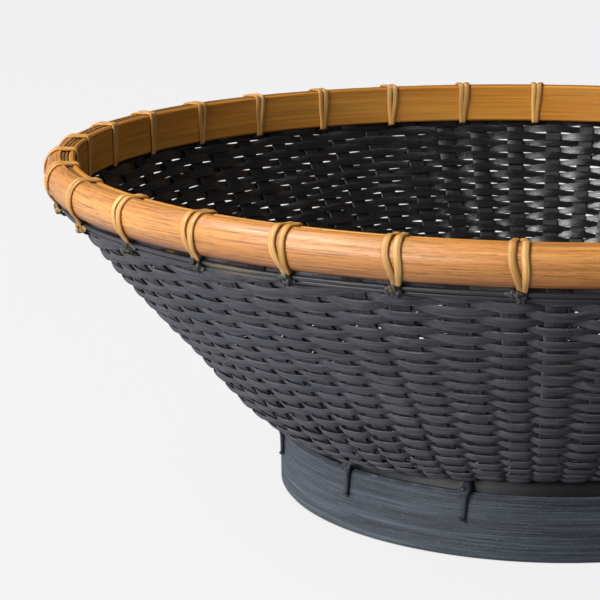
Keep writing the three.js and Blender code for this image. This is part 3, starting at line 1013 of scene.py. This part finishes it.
def knot_parts(radial, tangent, up):
    """The cane's tucked ends: short lumps folded over one another on the border hoops."""
    parts = []
    side = rng.choice([-1.0, 1.0])
    paint = rng.uniform(0.5, 0.8)
    t = np.linspace(0, 1, 12)
    for layer, (length, height) in enumerate(KNOT_LUMPS):
        side = -side
        reach = length + rng.normal(0, 0.5)
        rise = hoop_low[2] + height + rng.normal(0, 0.3)
        slope = rng.normal(0, 0.8)
        path = (
            (HOOP_OUTER - 0.3 + 0.6 * layer + 0.7 * np.sin(math.pi * t))[:, None] * radial
            + (rise + slope * (t - 0.5) + 0.5 * np.sin(2.6 * t + rng.random()))[:, None] * up
            + (side * (reach * t - 1.2))[:, None] * tangent
        )
        bulge = np.sin(math.pi * np.clip(t, 0.1, 0.9)) ** 0.6
        swell = bulge * (1 + 0.2 * np.sin(17 * t + 5 * rng.random()))
        extra = {"tone": np.full(len(t), rng.random()), "paint": np.full(len(t), paint)}
        parts.append(strip_mesh(path, radial, 1.6 * swell, 1.25 * swell, ROUND_SECTION, extra))
    return parts


def make_stitch(i, material):
    """A loop of cane round the top of the foot, folded over at its top, its ends tucked in."""
    node = f"foot_stitch_{i + 1:02d}"
    radial, tangent, up = axes_at(node_angle(node))
    outer = outer_foot_high[0] + 0.7
    inner = inner_foot_high[0] - 3.6
    corners = [
        [outer - 2.2, 14.6], [outer - 0.2, 15.4], [outer, 18.0], [outer + 0.1, 22.0],
        [outer + 0.4, 25.6], [outer - 1.2, 28.6], [outer - 3.6, 31.4], [102.0, 33.0],
        [inner + 0.6, 33.4], [inner, 30.5], [inner, 20.0], [inner + 0.8, 15.2],
    ]
    path = catmull(np.vstack([corners, corners[:1]]), 5)[:-1]
    slip = rng.normal(0, 0.7) * smoothstep(14, 34, path[:, 1])
    centre = path[:, :1] * radial + path[:, 1:] * up + slip[:, None] * tangent
    along = unit(along_loop(centre))
    outward = unit(np.cross(along, tangent))
    across = np.cross(outward, along)
    fold = np.exp(-(((path[:, 1] - STITCH_FOLD_Z) / 2.6) ** 2)) * (path[:, 0] > outer - 3)
    half_width = 0.75 + 0.4 * smoothstep(14.5, 17.5, path[:, 1]) + 0.75 * fold
    parts = [
        tube_mesh(centre, across, outward, half_width, 0.75 + 0.3 * fold, ROUND_SECTION, True, {})
    ]
    t = np.linspace(-1, 1, 11)
    for middle, half_length, thick in STITCH_LUMPS:
        slope = rng.uniform(-0.9, 0.9)
        aside = half_length * t + slip[0] * 0.5 + rng.normal(0, 0.25)
        lump = (
            (outer + 0.45 + 0.2 * np.cos(2 * t))[:, None] * radial
            + (middle + slope * t)[:, None] * up
            + aside[:, None] * tangent
        )
        swell = np.maximum(1 - t**4, 0.25) * (1 + 0.2 * np.sin(4 * t + 6 * rng.random()))
        swell = thick * swell
        parts.append(strip_mesh(lump, radial, swell, swell, ROUND_SECTION, {}))
    piece = build(f"stitch_{i + 1:02d}", parts, material, 70)
    place(piece, "painted_cane", node)


# ------------------------------ studio
WORLD_DIM = (0.07, 0.07, 0.075)
WORLD_BRIGHT = (1.0, 1.04, 1.16)


def papered(name, paper):
    """The newest object, named and papered. It throws no light and no reflection on the basket."""
    surface = bpy.context.object
    surface.name = name
    surface.data.materials.append(paper.material)
    surface.visible_diffuse = False
    surface.visible_glossy = False
    return surface


def make_floor():
    """Seamless paper, lit so evenly that it keeps hardly any shadow, with a painted shadow that
    makes it dark under the foot.
    """
    bpy.ops.mesh.primitive_plane_add(size=24, location=(0, 0, -0.0002))
    paper = Shader("paper", Specular_IOR_Level=0.0, Roughness=0.9, Emission_Strength=0.855)
    paper.principled.inputs["Base Color"].default_value = (0.03, 0.03, 0.03, 1)
    place = paper.node("ShaderNodeTexCoord").outputs["Object"]
    radius = paper.node("ShaderNodeVectorMath", {0: place}, operation="LENGTH").outputs["Value"]
    foot = outer_foot_high[0] * MM
    # Painted shadow: the paper stops glowing inside the foot's outer edge.
    glow_with_painted_shadow = paper.ramp(paper.remap(radius, foot - 0.012, foot), [(0.3, 0.0), (1.0, 1.0)])
    paper.tree.links.new(glow_with_painted_shadow, paper.principled.inputs["Emission Color"])
    floor = papered("floor", paper)


def make_backdrop():
    """A pale dome that closes the view above the floor's edge and keeps no light out."""
    bpy.ops.mesh.primitive_uv_sphere_add(segments=96, ring_count=48, radius=11.5)
    paper = Shader("backdrop_paper", Specular_IOR_Level=0.0, Roughness=1.0, Emission_Strength=0.87)
    paper.principled.inputs["Base Color"].default_value = (0.0, 0.0, 0.0, 1)
    paper.principled.inputs["Emission Color"].default_value = (1, 1, 1, 1)
    dome = papered("backdrop", paper)
    dome.visible_transmission = False
    dome.visible_shadow = False


def make_world(scene):
    """The room: bright low down on the left and in front, dim above, to the right and behind."""
    world = bpy.data.worlds.new("studio")
    world.use_nodes = True
    tree = world.node_tree
    background = tree.nodes["Background"]
    direction = tree.nodes.new("ShaderNodeTexCoord").outputs["Generated"]
    lean = tree.nodes.new("ShaderNodeVectorMath")
    lean.operation = "DOT_PRODUCT"
    tree.links.new(direction, lean.inputs[0])
    lean.inputs[1].default_value = Vector((-0.94, -0.06, -0.33)).normalized()
    ramp = tree.nodes.new("ShaderNodeValToRGB")
    tree.links.new(lean.outputs["Value"], ramp.inputs["Fac"])
    stops = ((0.14, WORLD_DIM), (0.95, WORLD_BRIGHT))
    for element, (position, colour) in zip(ramp.color_ramp.elements, stops):
        element.position, element.color = position, (*colour, 1)
    tree.links.new(ramp.outputs["Color"], background.inputs["Color"])
    background.inputs["Strength"].default_value = 1.0
    scene.world = world


def softbox(name, location, size, energy, colour=(1, 1, 1), aim=(0, 0, 0.08)):
    light = bpy.data.lights.new(name, "AREA")
    light.shape, light.size, light.size_y = "RECTANGLE", *size
    light.energy, light.color = energy, colour
    lamp = bpy.data.objects.new(name, light)
    lamp.location = location
    direction = Vector(aim) - Vector(location)
    lamp.rotation_euler = direction.to_track_quat("-Z", "Y").to_euler()
    bpy.context.scene.collection.objects.link(lamp)


def make_studio():
    scene = bpy.context.scene
    scene.view_settings.view_transform = "Standard"
    make_floor()
    make_backdrop()
    make_world(scene)
    softbox("overhead", (-1.36, -0.25, 1.7), (1.25, 1.1), 57, (1.0, 0.985, 0.96), (-1.2, -0.2, 0))
    softbox("front_left", (-1.38, -1.3, 0.66), (1.3, 0.5), 27.5, (1.0, 0.99, 0.975))
    softbox("right_fill", (1.1, -1.0, 0.5), (0.8, 0.6), 3.5)

    camera = bpy.data.cameras.new("camera")
    camera.sensor_width, camera.lens = 36.0, 130.4
    camera.clip_end = 100
    eye = bpy.data.objects.new("camera", camera)
    eye.location = (-0.0986, -0.8626, 0.2768)
    eye.rotation_euler = (math.radians(76.82), 0, 0)
    scene.collection.objects.link(eye)
    scene.camera = eye


make_studio()
materials = make_materials()
make_stakes(materials["stake"])
make_weavers(materials["weaver"])
make_base_fillers(materials["stake"])
make_border_hoops(materials["hoop"])
make_rim(materials)
make_foot(materials)
for number in range(LASHINGS):
    make_lashing(number, materials["cane"])
for number in range(STITCHES):
    make_stitch(number, materials["stitch"])
